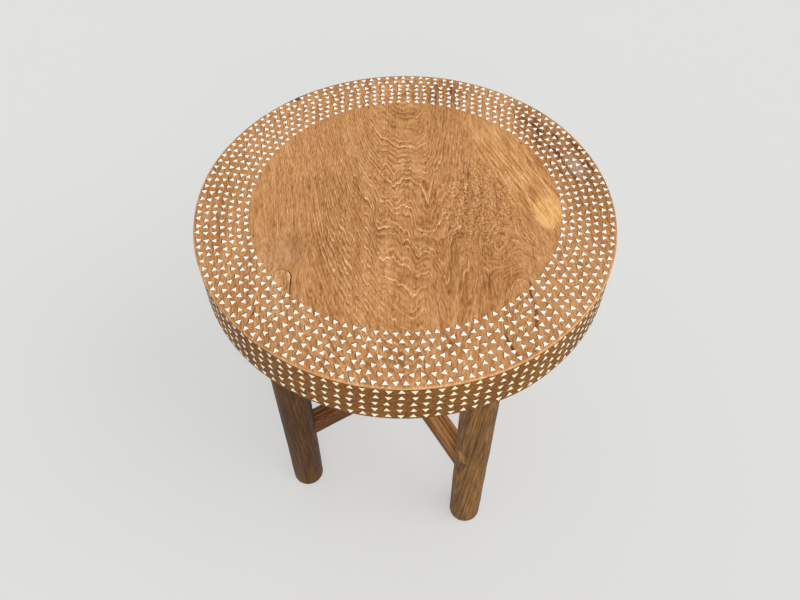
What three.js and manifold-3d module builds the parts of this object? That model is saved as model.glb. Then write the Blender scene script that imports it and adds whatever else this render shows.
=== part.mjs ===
// Round teak stool that also serves as a small table: a thick round slab, inlaid with rings of
// small shell triangles, on four round legs that two crossing stretchers tie together.
// Lengths are millimetres and +Z is up. The origin lies on the floor under the centre of the top.

import * as THREE from "three";
import { mergeVertices } from "three/addons/utils/BufferGeometryUtils.js";
import Module from "manifold-3d";

const wasm = await Module();
wasm.setup();

// The whole stool
const stoolHeight = 525;
const jointGap = 0.3;
const cutterOverrun = 2;

// Top slab, with a softened edge above and below
const topDiameter = 500;
const topThickness = 63;
const topEdgeSoftening = 1.8;
const undersideEdgeSoftening = 1.5;

// Legs, tapering a little to the foot, with a turned tenon that is glued into the slab
const legCount = 4;
const firstLegDegrees = -59.2;
const legInset = 67.5;
const legHeadDiameter = 49;
const legFootDiameter = 46;
const footEdgeSoftening = 5;
const legTenonDiameter = 30;
const legTenonLength = 36;
const tenonTipSoftening = 1.5;

// Stretchers, soft-edged square bars that lap over each other under the centre of the top
const stretcherCentreHeight = 150;
const stretcherWidth = 30;
const stretcherDepth = 29;
const stretcherEdgeRadius = 8;
const stretcherTenonDiameter = 20;
const mortiseDepth = 27;

// Round-ended patch let into the top, with its inner end on the open face
const patchWidth = 24;
const patchLength = 72;
const patchDepth = 8;
const patchCentreX = -138.5;
const patchInnerEndY = -94;

// Shell triangles, each in a pocket of its own that is carved with three cuts to a point
const topChipSide = 6.5;
const sideChipSide = 7.2;
const pocketDepth = 1.5;

// Rings of pockets in the border of the top. Laid by eye, the rings creep towards the back from
// the outer one to the inner one, so the border is widest at the front.
const topRingCount = 7;
const topOuterRingInset = 6.3;
const topRingPitch = 9.25;
const topOuterRingCreep = 0.2;
const topInnerRingCreep = 5.6;
const topChipSpacing = 11.1;
const topChipDrift = 1.2;
const topRingDrift = 0.45;

// Rings of pockets round the side. The chips stand in columns, with the two upper rings moved
// along a little and turned the other way up from the three lower ones.
const sideRingCount = 5;
const sideUpperRingCount = 2;
const sideRingPitch = 12.3;
const sideMiddleRingDrop = 0.6;
const sideChipSpacing = 13.55;
const sideUpperRingStep = 1.8;
const sideChipDrift = 0.6;
const sideRingDrift = 0.5;

// Hand-laid look: how far the triangles turn away from pointing straight in or out, or up or
// down, and the numbers that start the scatter afresh for each ring and for the side
const edgeRingTurnDegrees = 12;
const middleRingTurnDegrees = 38;
const sideTurnDegrees = 7;
const ringSeedStep = 211;
const sideSeedStart = 2000;
const alongSeedShare = 0.31;
const acrossSeedShare = 0.57;

// Facets of the round pieces
const legSides = 24;
const tenonSides = 14;
const softEdgeSteps = 2;

// Finish of each timber: colour, roughness and metalness
const finishes = {
  slab: { color: 0xb17c4c, roughness: 0.55, metalness: 0 },
  patch: { color: 0xc08a58, roughness: 0.55, metalness: 0 },
  leg: { color: 0x7a5637, roughness: 0.6, metalness: 0 },
  stretcher: { color: 0x8a5f3f, roughness: 0.6, metalness: 0 },
};

// Sizes that follow from the driving ones
const topRadius = topDiameter / 2;
const undersideHeight = stoolHeight - topThickness;
const legHeadRadius = legHeadDiameter / 2;
const legFootRadius = legFootDiameter / 2;
const legRingRadius = topRadius - legInset;
const firstLegAngle = THREE.MathUtils.degToRad(firstLegDegrees);
const legAngleStep = (2 * Math.PI) / legCount;

// The side of the slab has one flat facet for each triangle of a ring, in four equal quarters
const sideChipsPerQuarter = Math.round((Math.PI * topDiameter) / sideChipSpacing / 4);
const sideChipsPerRing = 4 * sideChipsPerQuarter;
const sideFacetAngle = (2 * Math.PI) / sideChipsPerRing;
const sideFacetDistance = topRadius * Math.cos(sideFacetAngle / 2);

// A closed solid from a geometry: shared corners are merged and flattened triangles dropped
function solidFrom(geometry) {
  const bare = geometry.clone();
  bare.deleteAttribute("normal");
  bare.deleteAttribute("uv");
  const merged = mergeVertices(bare);
  const corners = merged.index.array;
  const kept = [];
  for (let i = 0; i < corners.length; i += 3) {
    const [a, b, c] = corners.subarray(i, i + 3);
    if (a !== b && b !== c && c !== a) kept.push(a, b, c);
  }
  const vertProperties = merged.attributes.position.array;
  return new wasm.Manifold(
    new wasm.Mesh({ numProp: 3, vertProperties, triVerts: Uint32Array.from(kept) }),
  );
}

// All solids of a list joined, in halves so that no join is much larger than the others
function joined(solids) {
  if (solids.length === 1) return solids[0];
  const middle = Math.ceil(solids.length / 2);
  return joined(solids.slice(0, middle)).add(joined(solids.slice(middle)));
}

// A named mesh with a material of its own
function meshFrom(solid, name, finish) {
  const { vertProperties, triVerts } = solid.getMesh();
  const geometry = new THREE.BufferGeometry();
  geometry.setAttribute("position", new THREE.BufferAttribute(vertProperties, 3));
  geometry.setIndex(new THREE.BufferAttribute(triVerts, 1));
  geometry.computeVertexNormals();
  const mesh = new THREE.Mesh(geometry, new THREE.MeshStandardMaterial(finish));
  mesh.name = name;
  return mesh;
}

// An upright turned shape from a profile of [radius, height] points
function turned(profile, sides) {
  const points = profile.map(([radius, height]) => new THREE.Vector2(radius, height));
  return new THREE.LatheGeometry(points, sides).rotateX(Math.PI / 2);
}

// An upright round bar between two heights
function roundBar(diameter, fromHeight, toHeight, sides) {
  const radius = diameter / 2;
  const bar = new THREE.CylinderGeometry(radius, radius, toHeight - fromHeight, sides);
  return bar.rotateX(Math.PI / 2).translate(0, 0, (fromHeight + toHeight) / 2);
}

// A quarter round for a profile, from one angle to the next about its centre
function softEdge(centreRadius, centreHeight, radius, fromAngle, steps) {
  const points = [];
  for (let step = 0; step <= steps; step += 1) {
    const angle = fromAngle + ((Math.PI / 2) * step) / steps;
    points.push([
      centreRadius + radius * Math.cos(angle),
      centreHeight + radius * Math.sin(angle),
    ]);
  }
  return points;
}

// A share between -1 and 1 that looks random but is the same each time
function scatterShare(seed) {
  const wave = Math.sin(seed * 12.9898) * 43758.5453;
  return 2 * (wave - Math.floor(wave)) - 1;
}

// Neighbours point opposite ways, each a little out of true
function turnOf(place, looseness, seed) {
  const flip = place % 2 === 0 ? 0 : Math.PI;
  return flip + THREE.MathUtils.degToRad(looseness) * scatterShare(seed);
}

// The middle rings of the border are laid more loosely than its two edge rings
function topLooseness(ring) {
  const onEdge = ring === 0 || ring === topRingCount - 1;
  return onEdge ? edgeRingTurnDegrees : middleRingTurnDegrees;
}

// The cutter of one pocket, its point at the pocket's depth under the face z = 0 and one corner
// towards -X, which is inwards on the border and upwards on the side
function pocketCutter(chipSide) {
  const height = pocketDepth + cutterOverrun;
  const reach = ((chipSide / Math.sqrt(3)) * height) / pocketDepth;
  const cone = new THREE.ConeGeometry(reach, height, 3).rotateX(-Math.PI / 2);
  return cone.rotateZ(Math.PI / 2).translate(0, 0, height / 2 - pocketDepth);
}

// Pockets of the border, ring by ring from the rim inwards
function topPockets() {
  const cutters = [];
  for (let ring = 0; ring < topRingCount; ring += 1) {
    const ringRadius = topRadius - topOuterRingInset - ring * topRingPitch;
    const inwardShare = ring / (topRingCount - 1);
    const creep = THREE.MathUtils.lerp(topOuterRingCreep, topInnerRingCreep, inwardShare);
    const count = Math.round((2 * Math.PI * ringRadius) / topChipSpacing);
    for (let index = 0; index < count; index += 1) {
      const seed = 1 + index + ring * ringSeedStep;
      const drift = topChipDrift * scatterShare(seed + alongSeedShare);
      const step = ((index + ring / 2) * 2 * Math.PI) / count;
      const angle = step - Math.PI / 2 + drift / ringRadius;
      const radius = ringRadius + topRingDrift * scatterShare(seed + acrossSeedShare);
      const cutter = pocketCutter(topChipSide);
      cutter.rotateZ(angle + turnOf(ring + index, topLooseness(ring), seed));
      cutter.translate(radius * Math.cos(angle), radius * Math.sin(angle) + creep, stoolHeight);
      cutters.push(solidFrom(cutter));
    }
  }
  return joined(cutters);
}

// Pockets of the side, each within one facet, ring by ring from the top down
function sidePockets() {
  const cutters = [];
  const middleHeight = stoolHeight - topThickness / 2 - sideMiddleRingDrop;
  for (let ring = 0; ring < sideRingCount; ring += 1) {
    const ringHeight = middleHeight + ((sideRingCount - 1) / 2 - ring) * sideRingPitch;
    const isUpper = ring < sideUpperRingCount;
    const ringStep = isUpper ? sideUpperRingStep : 0;
    const firstPlace = isUpper ? 1 : 0;
    for (let index = 0; index < sideChipsPerRing; index += 1) {
      const seed = sideSeedStart + index + ring * ringSeedStep;
      const along = ringStep + sideChipDrift * scatterShare(seed + alongSeedShare);
      const height = ringHeight + sideRingDrift * scatterShare(seed + acrossSeedShare);
      const cutter = pocketCutter(sideChipSide);
      cutter.rotateZ(turnOf(firstPlace + index, sideTurnDegrees, seed));
      cutter.rotateY(Math.PI / 2).translate(sideFacetDistance, along, height);
      cutter.rotateZ((index + 0.5) * sideFacetAngle - Math.PI / 2);
      cutters.push(solidFrom(cutter));
    }
  }
  return joined(cutters);
}

// Outline of the patch, or of its recess when it is grown by the joint gap
function patchBlock(growth, fromHeight, toHeight) {
  const endRadius = patchWidth / 2 + growth;
  const innerEndY = patchInnerEndY - patchWidth / 2;
  const outerEndY = patchInnerEndY - patchLength + patchWidth / 2;
  const outline = new THREE.Shape();
  outline.absarc(patchCentreX, innerEndY, endRadius, 0, Math.PI, false);
  outline.absarc(patchCentreX, outerEndY, endRadius, Math.PI, 2 * Math.PI, false);
  const block = new THREE.ExtrudeGeometry(outline, {
    depth: toHeight - fromHeight,
    bevelEnabled: false,
    curveSegments: tenonSides / 2,
  });
  return block.translate(0, 0, fromHeight);
}

// The slab: a turned disc with soft edges, sockets below, and the patch recess above
function topSlab() {
  const disc = turned(
    [
      [0, undersideHeight],
      [topRadius - undersideEdgeSoftening, undersideHeight],
      [topRadius, undersideHeight + undersideEdgeSoftening],
      [topRadius, stoolHeight - topEdgeSoftening],
      [topRadius - topEdgeSoftening, stoolHeight],
      [0, stoolHeight],
    ],
    sideChipsPerRing,
  );
  const socketDiameter = legTenonDiameter + 2 * jointGap;
  const socketTop = undersideHeight + legTenonLength + jointGap;
  const sockets = legAngles().map((angle) => {
    const socket = roundBar(
      socketDiameter,
      undersideHeight - cutterOverrun,
      socketTop,
      legSides,
    );
    return solidFrom(onLegCentre(socket, angle));
  });
  const recess = solidFrom(
    patchBlock(jointGap, stoolHeight - patchDepth - jointGap, stoolHeight + cutterOverrun),
  );
  return solidFrom(disc).subtract(joined(sockets)).subtract(recess);
}

function topPatch() {
  return solidFrom(patchBlock(0, stoolHeight - patchDepth, stoolHeight));
}

function legAngles() {
  return Array.from({ length: legCount }, (_, leg) => firstLegAngle + leg * legAngleStep);
}

function onLegCentre(geometry, angle) {
  return geometry.translate(legRingRadius, 0, 0).rotateZ(angle);
}

function legRadiusAt(height) {
  const taper = (legHeadRadius - legFootRadius) / undersideHeight;
  return legFootRadius + taper * height;
}

// The leg's inner face, where a stretcher meets it, measured from the stool's axis
function mortiseFace() {
  return legRingRadius - legRadiusAt(stretcherCentreHeight);
}

// A level round bar from the stool's axis side into a leg, for the mortise and its tenon
function levelBar(diameter, fromRadius, toRadius) {
  const bar = roundBar(diameter, fromRadius, toRadius, tenonSides);
  return bar.rotateY(Math.PI / 2).translate(0, 0, stretcherCentreHeight);
}

// A leg stands upright, with its shoulder against the slab and a mortise facing the centre
function leg(angle) {
  const tenonRadius = legTenonDiameter / 2;
  const tenonTop = undersideHeight + legTenonLength;
  const footRadius = legRadiusAt(footEdgeSoftening);
  const body = turned(
    [
      [0, 0],
      ...softEdge(
        footRadius - footEdgeSoftening,
        footEdgeSoftening,
        footEdgeSoftening,
        -Math.PI / 2,
        softEdgeSteps,
      ),
      [legHeadRadius, undersideHeight],
      [tenonRadius, undersideHeight],
      [tenonRadius, tenonTop - tenonTipSoftening],
      [tenonRadius - tenonTipSoftening, tenonTop],
      [0, tenonTop],
    ],
    legSides,
  );
  const mortise = levelBar(
    stretcherTenonDiameter + 2 * jointGap,
    mortiseFace() - cutterOverrun,
    mortiseFace() + mortiseDepth,
  );
  return solidFrom(onLegCentre(body, angle)).subtract(solidFrom(mortise.rotateZ(angle)));
}

// Section of a stretcher: a rectangle with well-rounded corners
function stretcherSection() {
  const halfDepth = stretcherDepth / 2;
  const halfWidth = stretcherWidth / 2;
  const cornerX = halfDepth - stretcherEdgeRadius;
  const cornerY = halfWidth - stretcherEdgeRadius;
  const section = new THREE.Shape();
  section.absarc(cornerX, cornerY, stretcherEdgeRadius, 0, Math.PI / 2, false);
  section.absarc(-cornerX, cornerY, stretcherEdgeRadius, Math.PI / 2, Math.PI, false);
  section.absarc(-cornerX, -cornerY, stretcherEdgeRadius, Math.PI, 1.5 * Math.PI, false);
  section.absarc(cornerX, -cornerY, stretcherEdgeRadius, 1.5 * Math.PI, 2 * Math.PI, false);
  return section;
}

// A stretcher: its ends are hollowed to fit round the legs, a tenon runs on into each leg, and
// half its depth is notched away at the middle, on the upper side or on the under side
function stretcher(angle, notchIsAbove) {
  const bar = new THREE.ExtrudeGeometry(stretcherSection(), {
    depth: 2 * legRingRadius,
    bevelEnabled: false,
    curveSegments: softEdgeSteps,
  });
  bar.translate(0, 0, -legRingRadius).rotateY(Math.PI / 2);
  bar.translate(0, 0, stretcherCentreHeight);

  const legRoom = new THREE.CylinderGeometry(
    legHeadRadius + jointGap,
    legFootRadius + jointGap,
    undersideHeight,
    legSides,
  );
  legRoom.rotateX(Math.PI / 2).translate(legRingRadius, 0, undersideHeight / 2);

  const tenon = levelBar(
    stretcherTenonDiameter,
    mortiseFace() - stretcherTenonDiameter,
    mortiseFace() + mortiseDepth - jointGap,
  );

  const notchWidth = stretcherWidth + 2 * jointGap;
  const notchHeight = stretcherDepth / 2 + cutterOverrun + jointGap / 2;
  const notchRise = notchHeight / 2 - jointGap / 2;
  const notch = new THREE.BoxGeometry(notchWidth, stretcherWidth + cutterOverrun, notchHeight);
  notch.translate(0, 0, stretcherCentreHeight + (notchIsAbove ? notchRise : -notchRise));

  const halfTurn = Math.PI;
  return solidFrom(bar.rotateZ(angle))
    .subtract(solidFrom(legRoom.clone().rotateZ(angle)))
    .subtract(solidFrom(legRoom.rotateZ(angle + halfTurn)))
    .add(solidFrom(tenon.clone().rotateZ(angle)))
    .add(solidFrom(tenon.rotateZ(angle + halfTurn)))
    .subtract(solidFrom(notch.rotateZ(angle)));
}

// The stool, put together
const stool = new THREE.Group();
const borderPockets = topPockets();
const slab = topSlab().subtract(borderPockets).subtract(sidePockets());
stool.add(meshFrom(slab, "top_slab", finishes.slab));
stool.add(meshFrom(topPatch().subtract(borderPockets), "top_patch", finishes.patch));

const legNames = ["leg_front_right", "leg_back_right", "leg_back_left", "leg_front_left"];
legAngles().forEach((angle, index) => {
  stool.add(meshFrom(leg(angle), legNames[index], finishes.leg));
});

stool.add(meshFrom(stretcher(firstLegAngle, true), "stretcher_lower", finishes.stretcher));
stool.add(
  meshFrom(stretcher(firstLegAngle + legAngleStep, false), "stretcher_upper", finishes.stretcher),
);

export default stool;
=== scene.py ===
import math

import bmesh
import bpy
from mathutils import Matrix, Vector


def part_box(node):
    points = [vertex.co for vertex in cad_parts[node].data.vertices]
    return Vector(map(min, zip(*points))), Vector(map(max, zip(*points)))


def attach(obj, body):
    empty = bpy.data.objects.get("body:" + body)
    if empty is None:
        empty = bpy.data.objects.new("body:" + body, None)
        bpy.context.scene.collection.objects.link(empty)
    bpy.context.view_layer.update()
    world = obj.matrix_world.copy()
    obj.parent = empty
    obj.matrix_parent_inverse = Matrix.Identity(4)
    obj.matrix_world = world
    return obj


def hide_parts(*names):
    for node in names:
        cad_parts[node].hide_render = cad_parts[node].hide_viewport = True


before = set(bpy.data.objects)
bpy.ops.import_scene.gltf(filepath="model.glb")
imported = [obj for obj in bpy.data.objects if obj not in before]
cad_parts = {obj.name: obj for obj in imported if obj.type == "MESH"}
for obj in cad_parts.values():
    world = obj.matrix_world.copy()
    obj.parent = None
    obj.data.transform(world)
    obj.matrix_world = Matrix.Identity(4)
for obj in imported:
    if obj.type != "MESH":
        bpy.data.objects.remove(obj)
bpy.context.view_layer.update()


# TOP SLAB
# One thick round slab of teak, sawn flat from a wide log, turned on its edge and sanded smooth.
# The rim is eased over and a little uneven, as handwork is, and the underside has four blind
# round sockets that take the tenons of the legs.

slab_low, slab_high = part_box("top_slab")
face_height = slab_high.z
underside_height = slab_low.z
rim_radius = slab_high.y
rim_unevenness = 0.0016
rim_wave_length = 0.11
rim_band = 0.002
rim_segments = 360
side_cuts = 11
face_edge_softness = 0.0020
under_edge_softness = 0.0016
face_ring_steps = 16 * [0.0055] + 7 * [0.02]
socket_sides = 48
socket_radius = 0.0152
socket_depth = 0.0362
leg_turn = math.radians(-59.2)
leg_ring_radius = 0.1825
leg_angles = [leg_turn + quarter * math.pi / 2 for quarter in range(4)]
near = 0.0001


def start_fresh():
    if bpy.context.mode != "OBJECT":
        bpy.ops.object.mode_set(mode="OBJECT")
    bpy.ops.object.select_all(action="DESELECT")


def added_piece(name):
    piece = bpy.context.object
    piece.name = name
    piece.data.name = name
    bpy.ops.object.transform_apply(location=True, rotation=True, scale=True)
    return piece


def take_up(piece):
    start_fresh()
    piece.select_set(True)
    bpy.context.view_layer.objects.active = piece


def pick_in_edit(piece, kind, wanted):
    take_up(piece)
    bpy.ops.object.mode_set(mode="EDIT")
    bpy.ops.mesh.select_mode(type=kind)
    bpy.ops.mesh.select_all(action="DESELECT")
    form = bmesh.from_edit_mesh(piece.data)
    parts = {"VERT": form.verts, "EDGE": form.edges, "FACE": form.faces}[kind]
    for part in parts:
        part.select_set(bool(wanted(part)))
    form.select_flush_mode()
    bmesh.update_edit_mesh(piece.data)


def is_upright(edge):
    return abs(edge.verts[0].co.z - edge.verts[1].co.z) > near


def is_above(part, height):
    return all(vertex.co.z > height - near for vertex in part.verts)


def is_below(part, height):
    return all(vertex.co.z < height + near for vertex in part.verts)


def faces_up(face):
    return face.normal.z > 0.99


def back_to_object():
    bpy.ops.object.mode_set(mode="OBJECT")


def on_circle(radius, angle, height):
    return Vector((radius * math.cos(angle), radius * math.sin(angle), height))


def finish_modifier(piece, modifier):
    take_up(piece)
    bpy.ops.object.modifier_apply(modifier=modifier.name)


def cut_with(piece, cutter, solver="EXACT", operation="DIFFERENCE"):
    unfinished = len(piece.data.materials) == 0
    modifier = piece.modifiers.new("cut", "BOOLEAN")
    modifier.operation = operation
    modifier.solver = solver
    modifier.material_mode = "INDEX"
    modifier.object = cutter
    finish_modifier(piece, modifier)
    bpy.data.objects.remove(cutter)
    if unfinished:
        piece.data.materials.clear()


def smooth_by_angle(piece, degrees):
    take_up(piece)
    bpy.ops.object.shade_smooth_by_angle(angle=math.radians(degrees))


def hand_worn(piece, depth, grain_size, group=""):
    clouds = bpy.data.textures.new(piece.name + "_unevenness", "CLOUDS")
    clouds.noise_scale = grain_size
    clouds.noise_depth = 1
    wear = piece.modifiers.new("unevenness", "DISPLACE")
    wear.texture = clouds
    wear.texture_coords = "LOCAL"
    wear.strength = depth
    wear.mid_level = 0.5
    wear.vertex_group = group
    finish_modifier(piece, wear)


start_fresh()
bpy.ops.mesh.primitive_cylinder_add(
    vertices=rim_segments,
    radius=rim_radius - rim_unevenness / 2,
    depth=face_height - underside_height,
    location=(0, 0, (face_height + underside_height) / 2),
)
slab = added_piece("slab")

pick_in_edit(slab, "EDGE", is_upright)
bpy.ops.mesh.subdivide(number_cuts=side_cuts)
pick_in_edit(slab, "EDGE", lambda edge: is_above(edge, face_height))
bpy.ops.mesh.bevel(offset=face_edge_softness, segments=5, affect="EDGES")
pick_in_edit(slab, "EDGE", lambda edge: is_below(edge, underside_height))
bpy.ops.mesh.bevel(offset=under_edge_softness, segments=3, affect="EDGES")
pick_in_edit(slab, "FACE", lambda face: faces_up(face) and len(face.verts) > 4)
for inset_step in face_ring_steps:
    bpy.ops.mesh.inset(thickness=inset_step, depth=0)
bpy.ops.mesh.poke()
back_to_object()

rim = slab.vertex_groups.new(name="rim")
for vertex in slab.data.vertices:
    reach = math.hypot(vertex.co.x, vertex.co.y)
    rim.add([vertex.index], 1.0 if reach > rim_radius - rim_band else 0.0, "REPLACE")
hand_worn(slab, rim_unevenness, rim_wave_length, group="rim")

for angle in leg_angles:
    start_fresh()
    bpy.ops.mesh.primitive_cylinder_add(
        vertices=socket_sides,
        radius=socket_radius,
        depth=2 * socket_depth,
        location=on_circle(leg_ring_radius, angle, underside_height),
    )
    cut_with(slab, added_piece("socket_drill"), "MANIFOLD")


def from_screen(red, green, blue):
    shares = [step / 255 for step in (red, green, blue)]
    return [((share + 0.055) / 1.055) ** 2.4 for share in shares] + [1]


def new_finish(name):
    finish = bpy.data.materials.new(name)
    finish.use_nodes = True
    return finish


def add_node(finish, kind, inputs, **settings):
    node = finish.node_tree.nodes.new("ShaderNode" + kind)
    for setting, value in settings.items():
        setattr(node, setting, value)
    for socket, value in inputs.items():
        if isinstance(value, bpy.types.NodeSocket):
            finish.node_tree.links.new(value, node.inputs[socket])
        else:
            node.inputs[socket].default_value = value
    return node


def reckoned(finish, operation, first, second=0.0):
    return add_node(finish, "Math", {0: first, 1: second}, operation=operation).outputs[0]


def times(finish, first, second):
    return reckoned(finish, "MULTIPLY", first, second)


def sum_of(finish, *shares):
    total = shares[0]
    for share in shares[1:]:
        total = reckoned(finish, "ADD", total, share)
    return total


def from_to(finish, value, start, end, at_start=0.0, at_end=1.0):
    inputs = {"Value": value, "From Min": start, "From Max": end}
    inputs.update({"To Min": at_start, "To Max": at_end})
    node = add_node(finish, "MapRange", inputs, interpolation_type="SMOOTHSTEP")
    return node.outputs["Result"]


def grain_place(finish, origin=(0, 0, 0), turn=(0, 0, 0)):
    spot = add_node(finish, "TexCoord", {}).outputs["Object"]
    inputs = {"Vector": spot, "Location": origin, "Rotation": turn}
    return add_node(finish, "Mapping", inputs, vector_type="TEXTURE").outputs[0]


def uneven(finish, where, per_metre, detail=2.0):
    spread = add_node(finish, "VectorMath", {0: where, 1: per_metre}, operation="MULTIPLY")
    inputs = {"Vector": spread.outputs[0], "Scale": 1.0, "Detail": detail}
    cloud = add_node(finish, "TexNoise", inputs)
    return from_to(finish, cloud.outputs["Fac"], 0.28, 0.72, -1.0, 1.0)


def wandering(finish, where, per_metre, reach):
    spread = add_node(finish, "VectorMath", {0: where, 1: per_metre}, operation="MULTIPLY")
    inputs = {"Vector": spread.outputs[0], "Scale": 1.0, "Detail": 2.0}
    cloud = add_node(finish, "TexNoise", inputs).outputs["Color"]
    centred = add_node(finish, "VectorMath", {0: cloud, 1: (0.5, 0.5, 0.5)}, operation="SUBTRACT")
    inputs = {0: centred.outputs[0], 1: (reach, reach, reach), 2: where}
    return add_node(finish, "VectorMath", inputs, operation="MULTIPLY_ADD").outputs[0]


def spot_at(finish, where, centre, half_width, half_length, turn=0, fade=0.7, depth=1000):
    inputs = {
        "Vector": where,
        "Location": (*centre, 0)[:3],
        "Rotation": (0, 0, math.radians(turn)),
        "Scale": (half_width, half_length, depth),
    }
    local = add_node(finish, "Mapping", inputs, vector_type="TEXTURE").outputs[0]
    reach = add_node(finish, "VectorMath", {0: local}, operation="LENGTH").outputs["Value"]
    return from_to(finish, reach, 1 - fade, 1 + fade, 1.0, 0.0)


def clouds_of(finish, where, plan):
    return [
        times(finish, uneven(finish, where, per_metre, detail), depth)
        for per_metre, detail, depth in plan
    ]


def ring_count_at(finish, where, heart, ring_step, ring_slope, wander, figure):
    inputs = {0: where, 1: (1, 0, 1), 2: (-heart[0], 0, -heart[1])}
    across = add_node(finish, "VectorMath", inputs, operation="MULTIPLY_ADD").outputs[0]
    reach = add_node(finish, "VectorMath", {0: across}, operation="LENGTH").outputs["Value"]
    along = add_node(finish, "SeparateXYZ", {0: where}).outputs["Y"]
    slow_bends = ((9, 3.5, 9), 1.0, wander)
    figure_bends = ((52, 4, 26), 2.0, figure)
    fine_bends = ((500, 45, 500), 2.0, 0.00030)
    total = sum_of(
        finish,
        reach,
        times(finish, times(finish, along, -1.0), ring_slope),
        *clouds_of(finish, where, [slow_bends, figure_bends, fine_bends]),
    )
    return times(finish, total, 1 / ring_step)


middle_tone = 0.44


def ring_lines(finish, rings, where, width):
    share = reckoned(finish, "FRACT", rings)
    nearness = reckoned(finish, "ABSOLUTE", reckoned(finish, "SUBTRACT", share, 0.5))
    line = from_to(finish, nearness, 0.5 - width, 0.5)
    beside = reckoned(finish, "ABSOLUTE", reckoned(finish, "SUBTRACT", share, 0.5 * width + 0.24))
    line = sum_of(finish, line, from_to(finish, beside, 0.02, 0.18, -0.45, 0.0))
    which = reckoned(finish, "FLOOR", reckoned(finish, "ADD", rings, 0.5))
    strength = add_node(finish, "TexWhiteNoise", {"W": which}, noise_dimensions="1D")
    bold = from_to(finish, strength.outputs["Value"], 0.0, 1.0, 0.30, 1.10)
    broken = from_to(finish, uneven(finish, where, (220, 40, 220)), -0.9, 0.3, 0.40, 1.0)
    return times(finish, times(finish, line, bold), broken)


def wood_tone(finish, where, rings, line_width, line_depth, dash_depth, dashes, calm=1):
    broad_streaks = ((95, 4, 95), 2.0, 0.04)
    fine_streaks = ((420, 40, 420), 3.0, 0.08)
    flecks = ((760, 130, 760), 1.0, 0.95 * dash_depth)
    cloudiness = ((13, 6, 13), 3.0, 0.07)
    late_wood = reckoned(finish, "SUBTRACT", reckoned(finish, "FRACT", rings), 0.5)
    inputs = {"W": times(finish, rings, 0.45), "Scale": 1.0}
    bands = add_node(finish, "TexNoise", inputs, noise_dimensions="1D").outputs["Fac"]
    along = add_node(finish, "SeparateXYZ", {0: where})
    inputs = {"X": rings, "Y": along.outputs["Y"], "Z": along.outputs["X"]}
    in_rings = add_node(finish, "CombineXYZ", inputs).outputs[0]
    per_ring, per_metre = dashes
    pale_dashes = uneven(finish, in_rings, (per_ring, per_metre, per_metre), 1.0)
    dark_dashes = uneven(finish, in_rings, (0.8 * per_ring, 0.8 * per_metre, per_metre), 1.0)
    return sum_of(
        finish,
        times(finish, ring_lines(finish, rings, where, line_width), line_depth),
        times(finish, late_wood, -0.10 * calm),
        from_to(finish, bands, 0.3, 0.7, -0.09 * calm, 0.09 * calm),
        from_to(finish, pale_dashes, 0.0, 0.9, 0, dash_depth),
        from_to(finish, dark_dashes, 0.0, 0.9, 0, -dash_depth),
        *clouds_of(finish, where, [broad_streaks, fine_streaks, flecks, cloudiness]),
        middle_tone,
    )


def toned(finish, tone, shades):
    ramp = add_node(finish, "ValToRGB", {"Fac": tone})
    stops = ramp.color_ramp.elements
    stops[0].position, stops[0].color = shades[0][0], from_screen(*shades[0][1])
    stops[1].position, stops[1].color = shades[-1][0], from_screen(*shades[-1][1])
    for place, shade in shades[1:-1]:
        stops.new(place).color = from_screen(*shade)
    return ramp.outputs["Color"]


def laid_over(finish, share, under, over, kind="MIX"):
    inputs = {"Factor": share, 6: under, 7: over}
    node = add_node(finish, "Mix", inputs, data_type="RGBA", blend_type=kind)
    return node.outputs[2]


def finish_with(finish, colour, roughness, relief, relief_height, gloss=0.25):
    shader = finish.node_tree.nodes["Principled BSDF"]
    shader.inputs["Specular IOR Level"].default_value = gloss
    inputs = {"Height": relief, "Distance": relief_height, "Strength": 1.0}
    bump = add_node(finish, "Bump", inputs).outputs["Normal"]
    links = finish.node_tree.links
    links.new(colour, shader.inputs["Base Color"])
    links.new(roughness, shader.inputs["Roughness"])
    links.new(bump, shader.inputs["Normal"])
    return shader


heart = (0.012, face_height - 0.110)
ring_step = 0.0021
ring_slope = [
    (-0.120, -0.050, 0.12, 0.20),
    (0.015, 0.050, 0.0, -0.13),
    (0.085, 0.135, 0.0, -0.36),
]
zigzag_bends = [
    ((27, 6, 26), 1.0, 0.0042),
    ((64, 10, 40), 1.0, 0.0014),
    ((150, 30, 90), 1.0, 0.0005),
]
curl_bends = [((160, 140, 160), 1.0, 0.0010)]
ripple_marks = [((360, 300, 360), 1.0, 0.17)]
face_shades = [
    (0.00, (98, 54, 22)),
    (0.28, (154, 98, 50)),
    (0.48, (188, 131, 78)),
    (0.70, (214, 158, 104)),
    (1.00, (248, 202, 150)),
]
sapwood_shades = [
    (0.00, (178, 116, 60)),
    (0.50, (222, 160, 90)),
    (1.00, (252, 202, 136)),
]
side_grain_and_painted_shade = (0.40, 0.31, 0.085, 1)
eye_swirls = [
    ((0.104, -0.060), 0.024, 0.028, 0, 1.0, 0.014),
    ((0.093, 0.084), 0.010, 0.022, 6, 1.0, 0.008),
    ((-0.142, -0.078), 0.022, 0.020, 0, 1.0, 0.010),
]
pale_marks = [
    ((0.146, 0.083), 0.028, 0.078, 30, 0.9, 0.09),
    ((0.170, -0.009), 0.015, 0.027, -8, 0.35, 0.10),
    ((-0.140, -0.068), 0.020, 0.020, 0, 0.9, 0.10),
]
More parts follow.
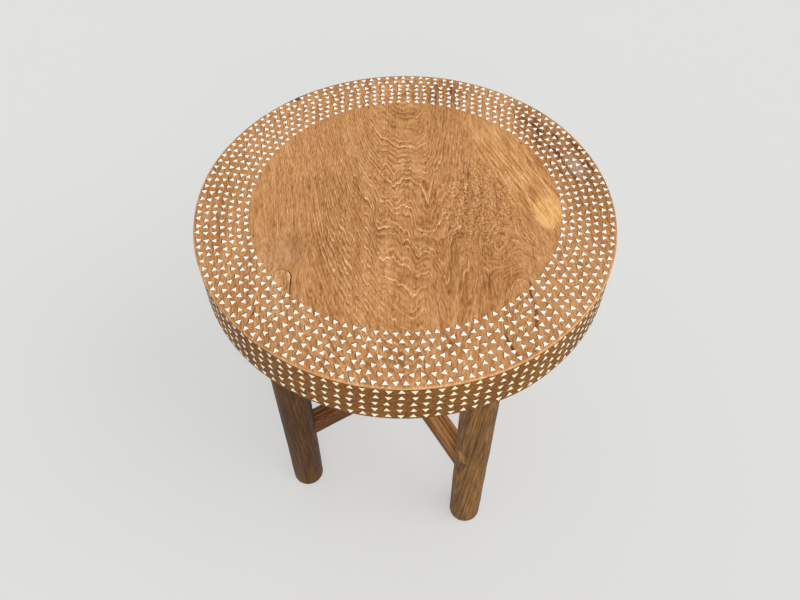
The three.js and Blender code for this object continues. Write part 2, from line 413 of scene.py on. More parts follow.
dark_marks = [
    ((0.2040, 0.092), 0.018, 0.060, 30, 0.8, -0.08),
    ((0.2050, 0.060), 0.034, 0.150, 18, 0.6, -0.09),
    ((0.0500, 0.214), 0.034, 0.020, 0, 0.9, -0.12),
    ((-0.1260, -0.062), 0.008, 0.016, 18, 0.9, -0.16),
    ((-0.1030, -0.046), 0.014, 0.012, 30, 0.9, -0.10),
    ((0.1370, -0.126), 0.0016, 0.013, -4, 0.7, -0.44),
    ((0.1385, -0.163), 0.0015, 0.024, 0, 0.8, -0.42),
    ((0.1105, -0.200), 0.0017, 0.016, 16, 0.7, -0.46),
    ((0.1470, 0.1095), 0.0012, 0.0022, 20, 0.6, -0.50),
    ((-0.1425, 0.2010), 0.0030, 0.0085, -48, 0.6, -0.62),
    ((-0.1660, -0.158), 0.0006, 0.012, -14, 0.6, -0.50),
    ((-0.1700, -0.176), 0.0006, 0.010, -18, 0.6, -0.42),
]
zigzag_area = ((0.002, -0.045), 0.066, 0.120, 0, 0.6)
rippled_area = ((0.092, 0.010), 0.046, 0.075, -14, 0.6)
figured_area = ((-0.020, 0.015), 0.080, 0.140, 0, 0.7)
bright_area = ((0.138, 0.060), 0.032, 0.085, 24, 0.6)
streaked_area = ((0.200, 0.108), 0.030, 0.080, 30, 0.5)
streaked_far_area = ((0.048, 0.216), 0.040, 0.026, 0, 0.6)
greyed_area = ((-0.140, -0.072), 0.022, 0.022, 0, 0.9)
silvered_area = ((0.212, 0.068), 0.007, 0.020, 18, 0.6)
sapwood_area = ((0.170, -0.009), 0.0145, 0.025, -8, 0.14)
plain_line_depth = 0.24
figured_line_depth = 0.26
bright_streak_depth = 0.38
bright_share = 0.30
bright_shade = (222, 154, 82)
dark_streak_depth = -0.34
far_streak_share = 0.5
streak_turn = (0, 0, math.radians(24))
greyed_share = 0.30
greyed_shade = (160, 128, 98)
silvered_share = 0.55
silvered_shade = (196, 168, 142)
slab_lightness = 0.04
side_grain_depth = 0.18
rim_line_start = rim_radius - 0.0032
rim_line_fade = 0.0015
face_line_start = face_height - 0.0034
face_line_fade = 0.0022
edge_highlight_fade = 0.0018
edge_highlight_depth = 0.16
slab_roughness = (0.56, 0.68)

slab_teak = new_finish("slab_teak")
place = grain_place(slab_teak)
drift = wandering(slab_teak, place, (38, 24, 38), reach=0.012)
side_place = add_node(slab_teak, "SeparateXYZ", {0: place}).outputs["X"]
slope = sum_of(slab_teak, *[from_to(slab_teak, side_place, *step) for step in ring_slope])
rings = ring_count_at(slab_teak, place, heart, ring_step, slope, wander=0.0025, figure=0.0014)
rippled = spot_at(slab_teak, drift, *rippled_area)
zigzag = sum_of(slab_teak, *clouds_of(slab_teak, place, zigzag_bends))
curl = sum_of(slab_teak, *clouds_of(slab_teak, place, curl_bends))
wave = sum_of(
    slab_teak,
    times(slab_teak, spot_at(slab_teak, drift, *zigzag_area), zigzag),
    times(slab_teak, rippled, curl),
)
for *swirl_area, height in eye_swirls:
    swirl = spot_at(slab_teak, drift, *swirl_area)
    wave = sum_of(slab_teak, wave, times(slab_teak, swirl, height))
rings = sum_of(slab_teak, rings, times(slab_teak, wave, 1 / ring_step))
figured = spot_at(slab_teak, drift, *figured_area)
extra_depth = times(slab_teak, figured, figured_line_depth)
line_depth = sum_of(slab_teak, plain_line_depth, extra_depth)
ripple = sum_of(slab_teak, *clouds_of(slab_teak, place, ripple_marks))
streaky = grain_place(slab_teak, turn=streak_turn)
bright_side = spot_at(slab_teak, drift, *bright_area)
bright_streaks = uneven(slab_teak, streaky, (420, 30, 30), 3.0)
grain = wood_tone(
    slab_teak,
    place,
    rings,
    line_width=0.20,
    line_depth=line_depth,
    dash_depth=0.11,
    dashes=(2.0, 70),
    calm=0.4,
)
tone = sum_of(
    slab_teak,
    grain,
    times(slab_teak, rippled, ripple),
    times(slab_teak, times(slab_teak, bright_side, bright_streaks), bright_streak_depth),
    slab_lightness,
)
height = add_node(slab_teak, "SeparateXYZ", {0: place}).outputs["Z"]
near_face = from_to(slab_teak, height, face_line_start, face_line_start + face_line_fade)
below_face = reckoned(slab_teak, "SUBTRACT", 1.0, near_face)
flat_reach = add_node(slab_teak, "VectorMath", {0: place, 1: (1, 1, 0)}, operation="MULTIPLY")
reach = add_node(slab_teak, "VectorMath", {0: flat_reach.outputs[0]}, operation="LENGTH")
reach = reach.outputs["Value"]
near_rim = from_to(slab_teak, reach, rim_line_start, rim_line_start + rim_line_fade)
side_grain = uneven(slab_teak, place, (420, 420, 300), 3.0)
side_grain = times(slab_teak, side_grain, times(slab_teak, below_face, near_rim))
tone = sum_of(slab_teak, tone, times(slab_teak, side_grain, side_grain_depth))
relief = tone
for *mark_area, depth in pale_marks + dark_marks:
    mark = spot_at(slab_teak, drift, *mark_area)
    tone = sum_of(slab_teak, tone, times(slab_teak, mark, depth))

streaks = from_to(slab_teak, uneven(slab_teak, streaky, (150, 26, 30)), 0.25, 0.7)
streaked = spot_at(slab_teak, drift, *streaked_area)
streaked_far = spot_at(slab_teak, drift, *streaked_far_area)
streaked = sum_of(slab_teak, streaked, times(slab_teak, streaked_far, far_streak_share))
streaks = times(slab_teak, streaks, streaked)
tone = sum_of(slab_teak, tone, times(slab_teak, streaks, dark_streak_depth))

# Painted highlight: the outer band of the face and the eased arris are made paler, as if catching
# the light.
edge_highlight = from_to(slab_teak, height, face_line_start, face_line_start + edge_highlight_fade)
edge_highlight = times(slab_teak, near_rim, edge_highlight)
tone = sum_of(slab_teak, tone, times(slab_teak, edge_highlight, edge_highlight_depth))
colour = toned(slab_teak, tone, face_shades)
bright_side = times(slab_teak, bright_side, times(slab_teak, near_face, bright_share))
colour = laid_over(slab_teak, bright_side, colour, from_screen(*bright_shade))
ragged = wandering(slab_teak, drift, (75, 45, 75), reach=0.034)
sapwood = times(slab_teak, spot_at(slab_teak, ragged, *sapwood_area), near_face)
colour = laid_over(slab_teak, sapwood, colour, toned(slab_teak, tone, sapwood_shades))
greyed = times(slab_teak, spot_at(slab_teak, drift, *greyed_area), greyed_share)
colour = laid_over(slab_teak, greyed, colour, from_screen(*greyed_shade))
silvered = spot_at(slab_teak, drift, *silvered_area)
silvered = times(slab_teak, silvered, times(slab_teak, near_face, silvered_share))
colour = laid_over(slab_teak, silvered, colour, from_screen(*silvered_shade))
# The side below the face is multiplied darker and yellower: partly its darker side and end grain,
# partly painted shade where the side turns away from the light.
colour = laid_over(slab_teak, below_face, colour, side_grain_and_painted_shade, "MULTIPLY")
roughness = from_to(slab_teak, tone, 0.0, 1.0, *slab_roughness)
finish_with(slab_teak, colour, roughness, relief, relief_height=0.00035)
slab.data.materials.append(slab_teak)


# TOP PATCH
# A narrow round-ended patch of straight-grained teak that a joiner let into the face to fill a
# knot. It is glued flush, and along its right side the joint has opened into a fine dark crack.

patch_low, patch_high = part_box("top_patch")
patch_half_width = (patch_high.x - patch_low.x) / 2
patch_centre_x = (patch_high.x + patch_low.x) / 2
patch_inner_y = patch_high.y - patch_half_width
patch_outer_y = patch_low.y + patch_half_width
patch_side_cuts = 23
recess_gap = 0.00015
cut_overrun = 0.002
crack_width = 0.0014
crack_middle_y = -0.114
crack_half_length = 0.020
arch_opening = 0.0007


def round_ended_block(name, growth, low, high):
    start_fresh()
    bpy.ops.mesh.primitive_cylinder_add(
        vertices=64,
        radius=patch_half_width + growth,
        depth=high - low,
        location=(patch_centre_x, patch_inner_y, (low + high) / 2),
    )
    block = added_piece(name)
    pick_in_edit(block, "VERT", lambda vertex: vertex.co.y < patch_inner_y - near)
    bpy.ops.transform.translate(value=(0, patch_outer_y - patch_inner_y, 0))
    pick_in_edit(block, "EDGE", lambda edge: edge.calc_length() > patch_half_width)
    bpy.ops.mesh.subdivide(number_cuts=patch_side_cuts)
    back_to_object()
    return block


recess_top = face_height + cut_overrun
recess = round_ended_block("recess_cut", recess_gap, patch_low.z - recess_gap, recess_top)
cut_with(slab, recess, "MANIFOLD")
patch = round_ended_block("let_in_patch", 0, patch_low.z, face_height)
for vertex in patch.data.vertices:
    nearness = abs(vertex.co.y - crack_middle_y) / crack_half_length
    if vertex.co.x > patch_centre_x and nearness < 1:
        vertex.co.x -= crack_width * (1 - nearness ** 2)
    if vertex.co.y > patch_inner_y + near:
        vertex.co.y -= arch_opening

patch_heart = (0.05, -0.03)
patch_ring_step = 0.0030
patch_grain_start = (patch_centre_x, 0.4, face_height)
patch_grain_turn = (0, 0, math.radians(-4))
patch_roughness = (0.48, 0.60)
patch_shades = [
    (0.00, (122, 76, 42)),
    (0.30, (180, 126, 78)),
    (0.50, (208, 155, 104)),
    (0.72, (226, 175, 124)),
    (1.00, (246, 204, 156)),
]
patch_teak = new_finish("patch_teak")
place = grain_place(patch_teak, patch_grain_start, patch_grain_turn)
rings = ring_count_at(
    patch_teak, place, patch_heart, patch_ring_step, ring_slope=0.03, wander=0.002, figure=0.0012
)
tone = wood_tone(
    patch_teak, place, rings, line_width=0.16, line_depth=0.26, dash_depth=0.14, dashes=(2.6, 70)
)
colour = toned(patch_teak, tone, patch_shades)
roughness = from_to(patch_teak, tone, 0.0, 1.0, *patch_roughness)
finish_with(patch_teak, colour, roughness, tone, relief_height=0.00030)
patch.data.materials.append(patch_teak)
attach(patch, "root")
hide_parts("top_patch")


# SHELL TRIANGLES
# Small triangles sawn from shell, laid by eye in seven rings round the border of the face and in
# five round the side. Each is glued in a pocket of its own over dark filler that shows as a fine
# line round it. The rings of the face creep towards the back, so its border is widest in front.

face_chip_side = 0.0067
side_chip_side = 0.0074
chip_corner = 0.00014
chip_edge = 0.00014
chip_thickness = 0.0012
chip_stands_proud = 0.00004
chip_size_spread = 0.07
filler_line = 0.00034
chip_off_centre = 0.00026
# The face pockets are all shifted a little to the left, so the dark filler shows wider on the left
# of each chip: a real filler line all round, with painted shadow on its left side.
pocket_shift_for_shadow = (-0.00034, 0.00010, 0)
pocket_depth = 0.00030

face_ring_total = 7
face_outer_inset = 0.0063
face_ring_pitch = 0.00925
outer_ring_creep = 0.0002
inner_ring_creep = 0.0056
face_chip_spacing = 0.0111
face_chip_drift = 0.0012
face_ring_drift = 0.00045
edge_ring_looseness = 12
middle_ring_looseness = 38

side_ring_total = 5
side_upper_rings = 2
side_ring_pitch = 0.0123
side_middle_drop = 0.0006
side_chip_total = 116
side_upper_step = 0.0018
side_chip_drift = 0.0006
side_ring_drift = 0.0005
side_looseness = 7

ring_seed_step = 211
side_seed_start = 2000
along_seed = 0.31
across_seed = 0.57
length_seed = 0.73
width_seed = 0.91
off_x_seed = 0.37
off_y_seed = 0.83
tone_seed = 0.13


def scatter_share(seed):
    wave = math.sin(seed * 12.9898) * 43758.5453
    return 2 * (wave - math.floor(wave)) - 1


def chip_turn(place, looseness, seed):
    flip = 0 if place % 2 == 0 else math.pi
    return flip + math.radians(looseness) * scatter_share(seed)


def seat_at(spot, outward, upright, turn):
    across = upright.cross(outward).normalized()
    along = across.cross(outward)
    seat = Matrix((along, across, outward)).transposed().to_4x4()
    return Matrix.Translation(spot) @ seat @ Matrix.Rotation(turn, 4, "Z")


def face_seats(ring):
    ring_radius = rim_radius - face_outer_inset - ring * face_ring_pitch
    inward_share = ring / (face_ring_total - 1)
    creep = outer_ring_creep + (inner_ring_creep - outer_ring_creep) * inward_share
    total = round(2 * math.pi * ring_radius / face_chip_spacing)
    on_edge = ring in (0, face_ring_total - 1)
    looseness = edge_ring_looseness if on_edge else middle_ring_looseness
    seats = []
    for index in range(total):
        seed = 1 + index + ring * ring_seed_step
        drift = face_chip_drift * scatter_share(seed + along_seed)
        step = (index + ring / 2) * 2 * math.pi / total
        angle = step - math.pi / 2 + drift / ring_radius
        radius = ring_radius + face_ring_drift * scatter_share(seed + across_seed)
        spot = Vector((radius * math.cos(angle), radius * math.sin(angle) + creep, face_height))
        from_middle = Vector((spot.x, spot.y, 0))
        turn = chip_turn(ring + index, looseness, seed)
        seats.append((seat_at(spot, Vector((0, 0, 1)), from_middle, turn), seed))
    return seats


def side_seats(ring):
    middle = (face_height + underside_height) / 2 - side_middle_drop
    ring_height = middle + ((side_ring_total - 1) / 2 - ring) * side_ring_pitch
    is_upper = ring < side_upper_rings
    ring_shift = side_upper_step if is_upper else 0
    first_place = 1 if is_upper else 0
    seats = []
    for index in range(side_chip_total):
        seed = side_seed_start + index + ring * ring_seed_step
        along = ring_shift + side_chip_drift * scatter_share(seed + along_seed)
        height = ring_height + side_ring_drift * scatter_share(seed + across_seed)
        angle = (index + 0.5) * 2 * math.pi / side_chip_total - math.pi / 2 + along / rim_radius
        outward = on_circle(1, angle, 0)
        start = outward * 1.1 * rim_radius + Vector((0, 0, height))
        spot, facing = slab.ray_cast(start, -outward)[1:3]
        turn = chip_turn(first_place + index, side_looseness, seed)
        seats.append((seat_at(spot, facing, Vector((0, 0, -1)), turn), seed))
    return seats


def triangle_block(name, reach, low, high, corner, edge_bevel):
    start_fresh()
    bpy.ops.mesh.primitive_cylinder_add(
        vertices=3, radius=reach, depth=high - low, location=(0, 0, (low + high) / 2)
    )
    block = added_piece(name)
    pick_in_edit(block, "EDGE", is_upright)
    bpy.ops.mesh.bevel(offset=corner, segments=1, affect="EDGES")
    if edge_bevel > 0:
        pick_in_edit(block, "EDGE", lambda edge: is_above(edge, high))
        bpy.ops.mesh.bevel(offset=edge_bevel, segments=1, affect="EDGES")
    back_to_object()
    block.data.transform(Matrix.Rotation(-math.pi / 2, 4, "Z"))
    return block


def chip_and_pocket(side):
    reach = side / math.sqrt(3)
    low = chip_stands_proud - chip_thickness
    chip = triangle_block("chip", reach, low, chip_stands_proud, chip_corner, chip_edge)
    pocket_reach = reach + 2 * filler_line
    corner = chip_corner + filler_line
    pocket = triangle_block("pocket", pocket_reach, -pocket_depth, cut_overrun, corner, 0)
    return chip, pocket


face_chip, face_pocket = chip_and_pocket(face_chip_side)
side_chip, side_pocket = chip_and_pocket(side_chip_side)

filler_roughness = (0.60, 0.78)
filler_shades = [
    (0.0, (66, 26, 6)),
    (0.6, (88, 40, 12)),
    (1.0, (118, 66, 28)),
]
filler = new_finish("dark_filler")
place = grain_place(filler)
grit = uneven(filler, place, (900, 900, 900), 3.0)
share = from_to(filler, grit, -1.0, 1.0)
colour = toned(filler, share, filler_shades)
roughness = from_to(filler, share, 0.0, 1.0, *filler_roughness)
finish_with(filler, colour, roughness, grit, relief_height=0.00010)
for piece in (slab, patch, face_pocket, face_pocket, side_pocket, side_pocket):
    piece.data.materials.append(filler)
for pocket in (face_pocket, side_pocket):
    for face in pocket.data.polygons:
        face.material_index = 1

chip_tone_depth = 0.22
cloud_depth = 0.12
layer_depth = 0.05
shell_lightness = 0.74
shell_roughness = (0.24, 0.40)
side_shade_start = face_height - 0.0020
side_shade_end = face_height - 0.0030
side_chip_shade = (1.0, 0.91, 0.70, 1)
shell_shades = [
    (0.00, (234, 212, 168)),
    (0.35, (252, 243, 214)),
    (0.60, (255, 252, 234)),
    (1.00, (255, 255, 250)),
]
shell = new_finish("worn_shell")
place = grain_place(shell)
chip_tone = add_node(shell, "Attribute", {}, attribute_name="tone").outputs["Fac"]
cloudy = uneven(shell, place, (420, 420, 420))
layers = uneven(shell, place, (1600, 260, 1600))
share = sum_of(
    shell,
    shell_lightness,
    times(shell, chip_tone, chip_tone_depth),
    times(shell, cloudy, cloud_depth),
    times(shell, layers, layer_depth),
)
colour = toned(shell, share, shell_shades)
height = add_node(shell, "SeparateXYZ", {0: place}).outputs["Z"]
on_side = from_to(shell, height, side_shade_end, side_shade_start, 1.0, 0.0)
colour = laid_over(shell, on_side, colour, side_chip_shade, "MULTIPLY")
roughness = from_to(shell, cloudy, -1.0, 1.0, *shell_roughness)
finish_with(shell, colour, roughness, layers, relief_height=0.00003, gloss=0.5)
face_chip.data.materials.append(shell)
side_chip.data.materials.append(shell)


def joined_copies(model, name, seats, off_centre=0.0, pushed=(0, 0, 0)):
    copies = []
    for place, seed in seats:
        copy = bpy.data.objects.new(name, model.data.copy())
        length = 1 + chip_size_spread * scatter_share(seed + length_seed)
        width = 1 + chip_size_spread * scatter_share(seed + width_seed)
        stretch = Matrix.Diagonal((length, width, 1, 1))
        off_x = off_centre * scatter_share(seed + off_x_seed)
        off_y = off_centre * scatter_share(seed + off_y_seed)
        copy.data.transform(place @ Matrix.Translation((off_x, off_y, 0)) @ stretch)
        copy.data.transform(Matrix.Translation(pushed))
        tone = copy.data.attributes.new("tone", "FLOAT", "POINT")
        tones = [scatter_share(seed + tone_seed)] * len(copy.data.vertices)
        tone.data.foreach_set("value", tones)
        bpy.context.scene.collection.objects.link(copy)
        copies.append(copy)
    start_fresh()
    for copy in copies:
        copy.select_set(True)
    bpy.context.view_layer.objects.active = copies[0]
    bpy.ops.object.join()
    return bpy.context.object


shell_rings = []
all_pockets = []
for ring in range(face_ring_total):
    seats = face_seats(ring)
    shell_rings.append(joined_copies(face_chip, f"shell_face_ring_{ring + 1}", seats))
    # Face pockets carry the shift to the left that paints a shadow on the left of each chip.
    pockets = joined_copies(face_pocket, "pockets", seats, chip_off_centre, pocket_shift_for_shadow)
    all_pockets.append(pockets)
for ring in range(side_ring_total):
    seats = side_seats(ring)
    shell_rings.append(joined_copies(side_chip, f"shell_side_ring_{ring + 1}", seats))
    all_pockets.append(joined_copies(side_pocket, "pockets", seats, chip_off_centre))
for model in (face_chip, face_pocket, side_chip, side_pocket):
    bpy.data.objects.remove(model)
start_fresh()
for pockets in all_pockets:
    pockets.select_set(True)
bpy.context.view_layer.objects.active = all_pockets[0]
bpy.ops.object.join()
pockets = bpy.context.object

patch_pockets = bpy.data.objects.new("patch_pockets", pockets.data.copy())
bpy.context.scene.collection.objects.link(patch_pockets)
cut_with(patch, patch_pockets, "MANIFOLD")
cut_with(slab, pockets, "MANIFOLD")
for ring_piece in shell_rings:
    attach(ring_piece, "root")

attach(slab, "root")
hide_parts("top_slab")
smooth_by_angle(slab, 30)
smooth_by_angle(patch, 30)


# LEGS
# Four round legs of the same teak, shaped from branch wood and left a little uneven. Each tapers
# slightly to a rounded foot, stands square under the slab, and has a round tenon glued up into it
# and a round mortise facing the middle for its stretcher. The front right one shows a pale knot.

leg_height = underside_height
leg_head_radius = 0.0245
leg_foot_radius = 0.0230
foot_softness = 0.0055
leg_sides = 72
leg_cuts = 47
leg_tenon_radius = 0.0150
leg_tenon_length = 0.0360
tenon_tip_softness = 0.0015
leg_unevenness = 0.0011
leg_wave_length = 0.05
leg_side_band = 0.001
even_head = 0.03
even_foot = 0.01
stretcher_height = 0.150
mortise_radius = 0.0103
mortise_depth = 0.027
drill_sides = 40
leg_names = ["leg_front_right", "leg_back_right", "leg_back_left", "leg_front_left"]


def leg_radius_at(height):
    return leg_foot_radius + (leg_head_radius - leg_foot_radius) * height / leg_height


start_fresh()
bpy.ops.mesh.primitive_cylinder_add(
    vertices=leg_sides, radius=leg_head_radius, depth=leg_height, location=(0, 0, leg_height / 2)
)
leg_model = added_piece("leg_model")
pick_in_edit(leg_model, "VERT", lambda vertex: vertex.co.z < near)
taper = leg_foot_radius / leg_head_radius
bpy.ops.transform.resize(value=(taper, taper, 1), center_override=(0, 0, 0))
pick_in_edit(leg_model, "EDGE", is_upright)
bpy.ops.mesh.subdivide(number_cuts=leg_cuts)
pick_in_edit(leg_model, "EDGE", lambda edge: is_below(edge, 0))
bpy.ops.mesh.bevel(offset=foot_softness, segments=6, affect="EDGES")
pick_in_edit(leg_model, "FACE", faces_up)
bpy.ops.mesh.inset(thickness=leg_head_radius - leg_tenon_radius, depth=0)
bpy.ops.mesh.extrude_region_move(TRANSFORM_OT_translate={"value": (0, 0, leg_tenon_length)})
tenon_top = leg_height + leg_tenon_length
pick_in_edit(leg_model, "EDGE", lambda edge: is_above(edge, tenon_top))
bpy.ops.mesh.bevel(offset=tenon_tip_softness, segments=3, affect="EDGES")
back_to_object()
uneven_part = leg_model.vertex_groups.new(name="uneven")
for vertex in leg_model.data.vertices:
    height = vertex.co.z
    on_side = math.hypot(vertex.co.x, vertex.co.y) > leg_radius_at(height) - leg_side_band
    from_ends = min((leg_height - height) / even_head, height / even_foot, 1)
    uneven_part.add([vertex.index], max(from_ends, 0) if on_side else 0.0, "REPLACE")

leg_shades = [
    (0.00, (66, 40, 14)),
    (0.30, (102, 68, 30)),
    (0.50, (124, 86, 42)),
    (0.70, (145, 103, 54)),
    (1.00, (178, 132, 76)),
]
# Each row: heart, lean, lightness, contrast and knot. The front left leg, the last row, is much
# darker and plainer: partly its own wood, partly painted shade for the slab's shadow on it.
leg_plan = [
    ((0.030, 0.016), (3, 4), 0.42, 1.0, (0.005, 0.212, 0.0232)),
    ((-0.024, 0.022), (-3, 2), 0.44, 1.0, (0.010, 0.330, -0.0210)),
    ((0.018, -0.032), (2, -3), 0.44, 1.0, (-0.012, 0.095, 0.0200)),
    ((-0.034, 0.010), (-2, 1), 0.10, 0.6, (-0.012, 0.300, -0.0200)),
]
leg_ring_step = 0.0034
leg_streaks = [((240, 2.5, 240), 1.0, 0.10), ((620, 7, 620), 1.0, 0.24)]
knot_bend_area = (0.014, 0.034, 8, 1.0, 0.016)
knot_heart_area = (0.0070, 0.0125, 8, 0.6, 0.014)
knot_ring_area = (0.0090, 0.0160, 8, 0.35, 0.016)
knot_ring_drop = 0.007
knot_ring_depth = -0.26
knot_heart_depth = 0.60
knot_share = 0.55
knot_shade = (190, 142, 76)
knot_rings = 2.6
leg_roughness = (0.54, 0.66)


def leg_teak(name, centre, turn, heart, lean, lightness_and_painted_shade, contrast, knot):
    finish = new_finish(name)
    place = grain_place(finish, centre, (math.radians(90), 0, turn))
    inputs = {"Vector": place, "Rotation": (math.radians(lean[0]), 0, math.radians(lean[1]))}
    leaning = add_node(finish, "Mapping", inputs).outputs[0]
    drift = wandering(finish, leaning, (14, 2, 14), reach=0.008)
    rings = ring_count_at(
        finish, drift, heart, leg_ring_step, ring_slope=0.02, wander=0.0012, figure=0.0003
    )
    near_knot = spot_at(finish, place, knot, *knot_bend_area)
    rings = sum_of(finish, rings, times(finish, near_knot, knot_rings))
    rough_knot = wandering(finish, place, (210, 120, 210), reach=0.007)
    knot_grit = from_to(finish, uneven(finish, place, (420, 230, 420)), -1.0, 0.3, 0.3)
    knot_heart = spot_at(finish, rough_knot, knot, *knot_heart_area)
    knot_heart = times(finish, knot_heart, knot_grit)
    below_knot = (knot[0], knot[1] - knot_ring_drop, knot[2])
    knot_ring = spot_at(finish, rough_knot, below_knot, *knot_ring_area)
    grain = wood_tone(
        finish, drift, rings, line_width=0.24, line_depth=0.15, dash_depth=0.06, dashes=(2.2, 9)
    )
    grain = sum_of(finish, grain, *clouds_of(finish, drift, leg_streaks), -middle_tone)
    tone = sum_of(
        finish,
        times(finish, grain, contrast),
        times(finish, knot_ring, knot_ring_depth),
        times(finish, knot_heart, knot_heart_depth),
        lightness_and_painted_shade,
    )
    colour = toned(finish, tone, leg_shades)
    pale_knot = times(finish, knot_heart, knot_share)
    colour = laid_over(finish, pale_knot, colour, from_screen(*knot_shade))
    return finish, tone, colour


legs = []
for number, angle in enumerate(leg_angles):
    centre = on_circle(leg_ring_radius, angle, 0)
    leg = bpy.data.objects.new(f"teak_{leg_names[number]}", leg_model.data.copy())
    bpy.context.scene.collection.objects.link(leg)
    uneven_part = leg.vertex_groups.new(name="uneven")
    leg.data.transform(Matrix.Translation(centre) @ Matrix.Rotation(angle, 4, "Z"))
    hand_worn(leg, leg_unevenness, leg_wave_length, group="uneven")

    start_fresh()
    mortise_face = leg_ring_radius - leg_radius_at(stretcher_height)
    bpy.ops.mesh.primitive_cylinder_add(
        vertices=drill_sides,
        radius=mortise_radius,
        depth=2 * mortise_depth,
        location=on_circle(mortise_face, angle, stretcher_height),
        rotation=(0, math.pi / 2, angle),
    )
    cut_with(leg, added_piece("mortise_drill"), "MANIFOLD")

    leg_finish, tone, colour = leg_teak(leg.name, centre, angle, *leg_plan[number])
    roughness = from_to(leg_finish, tone, 0.0, 1.0, *leg_roughness)
    finish_with(leg_finish, colour, roughness, tone, relief_height=0.00030, gloss=0.15)
    leg.data.materials.append(leg_finish)
    smooth_by_angle(leg, 35)
    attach(leg, "root")
    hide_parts(leg_names[number])
    legs.append(leg)
bpy.data.objects.remove(leg_model)


# STRETCHERS
# Two level bars of teak with well-rounded edges that cross under the slab and tie opposite legs.
# They are half lapped where they cross, hollowed at the ends to fit round the legs, and a round
# tenon runs on from each end and is glued in its leg.

bar_width = 0.030
bar_depth = 0.029
bar_edge_radius = 0.008
bar_cuts = 59
bar_tenon_radius = 0.010
bar_tenon_root = 0.004
bar_tenon_gap = 0.0004
bar_unevenness = 0.0006
bar_wave_length = 0.045
lap_fade = 0.02
lap_room = 0.00025
leg_clearance = 0.00015
bar_ring_step = 0.0034
bar_streaks = [((200, 2.5, 200), 1.0, 0.20), ((600, 8, 600), 1.0, 0.14)]
bar_painted_shade_start = 0.0120
bar_painted_shade_end = 0.0060
bar_side_painted_shade = (0.50, 0.45, 0.42, 1)
bar_roughness = (0.50, 0.62)
bar_shades = [
    (0.00, (82, 46, 20)),
    (0.30, (120, 76, 42)),
    (0.50, (144, 94, 54)),
    (0.70, (167, 113, 68)),
    (1.00, (196, 144, 94)),
]


def is_lengthwise(edge):
    return abs(edge.verts[0].co.x - edge.verts[1].co.x) > bar_width


def stretcher_bar(name, angle, lap_above):
    length = 2 * leg_ring_radius
    start_fresh()
    bpy.ops.mesh.primitive_cube_add(size=1, scale=(length, bar_width, bar_depth))
    bar = added_piece(name)
    pick_in_edit(bar, "EDGE", is_lengthwise)
    bpy.ops.mesh.bevel(offset=bar_edge_radius, segments=7, affect="EDGES")
    pick_in_edit(bar, "EDGE", is_lengthwise)
    bpy.ops.mesh.subdivide(number_cuts=bar_cuts)
    back_to_object()
    away_from_lap = bar.vertex_groups.new(name="away_from_lap")
    for vertex in bar.data.vertices:
        distance = abs(vertex.co.x) - bar_width
        away_from_lap.add([vertex.index], min(max(distance / lap_fade, 0), 1), "REPLACE")
    turn = Matrix.Translation((0, 0, stretcher_height)) @ Matrix.Rotation(angle, 4, "Z")
    bar.data.transform(turn)
    hand_worn(bar, bar_unevenness, bar_wave_length, group="away_from_lap")

    for leg, leg_angle in zip(legs, leg_angles):
        is_across = abs(math.cos(leg_angle - angle)) < 0.5
        if is_across:
            continue
        leg_room = bpy.data.objects.new("leg_room", leg.data.copy())
        bpy.context.scene.collection.objects.link(leg_room)
        pick_in_edit(leg_room, "VERT", lambda vertex: True)
        bpy.ops.transform.shrink_fatten(value=leg_clearance)
        back_to_object()
        cut_with(bar, leg_room, "EXACT")

    for end in (0, math.pi):
        reach = leg_ring_radius - leg_radius_at(stretcher_height)
        inner = reach - bar_tenon_root
        outer = reach + mortise_depth - bar_tenon_gap
        start_fresh()
        bpy.ops.mesh.primitive_cylinder_add(
            vertices=drill_sides,
            radius=bar_tenon_radius,
            depth=outer - inner,
            location=on_circle((inner + outer) / 2, angle + end, stretcher_height),
            rotation=(0, math.pi / 2, angle + end),
        )
        cut_with(bar, added_piece("tenon"), "EXACT", "UNION")

    start_fresh()
    lap_height = bar_depth / 2 + cut_overrun + lap_room
    lap_middle = lap_height / 2 - lap_room / 2
    bpy.ops.mesh.primitive_cube_add(
        size=1,
        scale=(bar_width + 2 * lap_room, bar_width + 2 * cut_overrun, lap_height),
        rotation=(0, 0, angle),
        location=(0, 0, stretcher_height + (lap_middle if lap_above else -lap_middle)),
    )
    cut_with(bar, added_piece("lap_cut"), "EXACT")
    return bar


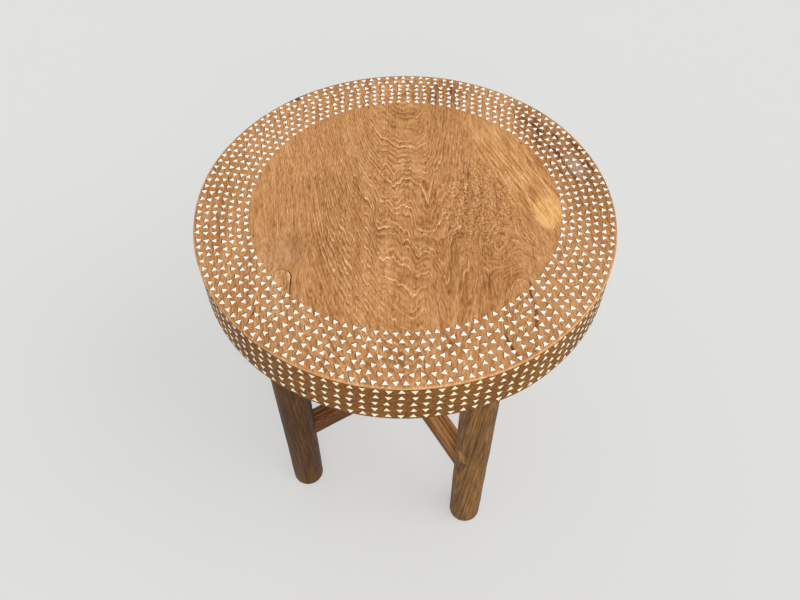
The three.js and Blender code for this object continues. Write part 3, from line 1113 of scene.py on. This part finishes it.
# The last column lifts or lowers each bar's tone. The upper bar, which runs to the front left leg,
# is much darker: partly its own wood, partly painted shade for the slab's shadow over it.
bar_plan = [
    ("stretcher_lower", leg_angles[0], True, (0.030, -0.020), 0.34),
    ("stretcher_upper", leg_angles[1], False, (-0.020, -0.034), -0.24),
]
for name, angle, lap_above, heart, lightness_and_painted_shade in bar_plan:
    bar = stretcher_bar(f"teak_{name}", angle, lap_above)
    bar_finish = new_finish(f"teak_{name}")
    origin = (0, 0, stretcher_height)
    place = grain_place(bar_finish, origin, (0, 0, angle - math.pi / 2))
    drift = wandering(bar_finish, place, (16, 4, 16), reach=0.008)
    rings = ring_count_at(
        bar_finish, drift, heart, bar_ring_step, ring_slope=0.010, wander=0.003, figure=0.0003
    )
    grain = wood_tone(
        bar_finish,
        drift,
        rings,
        line_width=0.22,
        line_depth=0.18,
        dash_depth=0.14,
        dashes=(2.2, 14),
    )
    tone = sum_of(bar_finish, grain, *clouds_of(bar_finish, drift, bar_streaks), lightness_and_painted_shade)
    colour = toned(bar_finish, tone, bar_shades)
    height = add_node(bar_finish, "SeparateXYZ", {0: place}).outputs["Z"]
    # Painted shade: below its top, each bar is multiplied darker, as if its sides were in shade
    # under a lit top.
    painted_shade_below_top = from_to(bar_finish, height, bar_painted_shade_end, bar_painted_shade_start, 1.0, 0.0)
    colour = laid_over(bar_finish, painted_shade_below_top, colour, bar_side_painted_shade, "MULTIPLY")
    roughness = from_to(bar_finish, tone, 0.0, 1.0, *bar_roughness)
    finish_with(bar_finish, colour, roughness, tone, relief_height=0.00040, gloss=0.15)
    bar.data.materials.append(bar_finish)
    smooth_by_angle(bar, 35)
    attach(bar, "root")
    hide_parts(name)


# STUDIO
# A plain pale matt floor in a pale surround, under soft light from the right and the front, seen as
# the photograph sees it. It is no part of the stool.

camera_data = bpy.data.cameras.new("camera")
camera_data.sensor_width = 36
camera_data.lens = 36.14
camera = bpy.data.objects.new("camera", camera_data)
camera.location = (-0.00646, -0.66312, 1.21933)
camera.rotation_euler = (math.radians(37.097), math.radians(0.180), math.radians(-0.238))
bpy.context.scene.collection.objects.link(camera)
bpy.context.scene.camera = camera

floor_size = 30
floor_clearance = 0.0002
start_fresh()
bpy.ops.mesh.primitive_plane_add(size=floor_size, location=(0, 0, -floor_clearance))
floor = added_piece("studio_floor")
floor_finish = new_finish("pale_floor")
floor_colour = from_screen(225, 225, 223)
floor_glow = 0.55
floor_shader = floor_finish.node_tree.nodes["Principled BSDF"]
floor_shader.inputs["Base Color"].default_value = floor_colour
floor_shader.inputs["Roughness"].default_value = 0.9
floor_shader.inputs["Specular IOR Level"].default_value = 0.0
glow = add_node(floor_finish, "Emission", {"Color": floor_colour, "Strength": 1.0})


def seen_share_of(finish):
    kinds = add_node(finish, "LightPath", {}).outputs
    seen = [kinds["Is Camera Ray"], kinds["Is Glossy Ray"], kinds["Is Transmission Ray"]]
    return reckoned(finish, "MINIMUM", sum_of(finish, *seen), 1.0)


seen_share = times(floor_finish, seen_share_of(floor_finish), floor_glow)
inputs = {0: seen_share, 1: floor_shader.outputs[0], 2: glow.outputs[0]}
floor_mix = add_node(floor_finish, "MixShader", inputs)
floor_end = floor_finish.node_tree.nodes["Material Output"]
floor_finish.node_tree.links.new(floor_mix.outputs[0], floor_end.inputs["Surface"])
floor.data.materials.append(floor_finish)

softboxes = [
    ("key_softbox", (0.90, -0.35, 1.0), 1.00),
    ("front_softbox", (0.15, -1.00, 0.6), 1.10),
]
softbox_spread = math.radians(45)
surround_strength = 0.60
for name, from_where, strength in softboxes:
    lamp_data = bpy.data.lights.new(name, "SUN")
    lamp_data.angle = softbox_spread
    lamp_data.energy = strength
    lamp = bpy.data.objects.new(name, lamp_data)
    lamp.rotation_euler = Vector(from_where).to_track_quat("Z", "Y").to_euler()
    bpy.context.scene.collection.objects.link(lamp)

world = bpy.data.worlds.new("studio")
bpy.context.scene.world = world
world.use_nodes = True
surround = world.node_tree.nodes["Background"]
surround.inputs["Color"].default_value = (1, 1, 1, 1)
surround.inputs["Strength"].default_value = surround_strength
backdrop = add_node(world, "Background", {"Color": floor_colour, "Strength": 1.0})
inputs = {0: seen_share_of(world), 1: surround.outputs[0], 2: backdrop.outputs[0]}
sky_mix = add_node(world, "MixShader", inputs)
world_end = world.node_tree.nodes["World Output"]
world.node_tree.links.new(sky_mix.outputs[0], world_end.inputs["Surface"])
bpy.context.scene.view_settings.view_transform = "Standard"
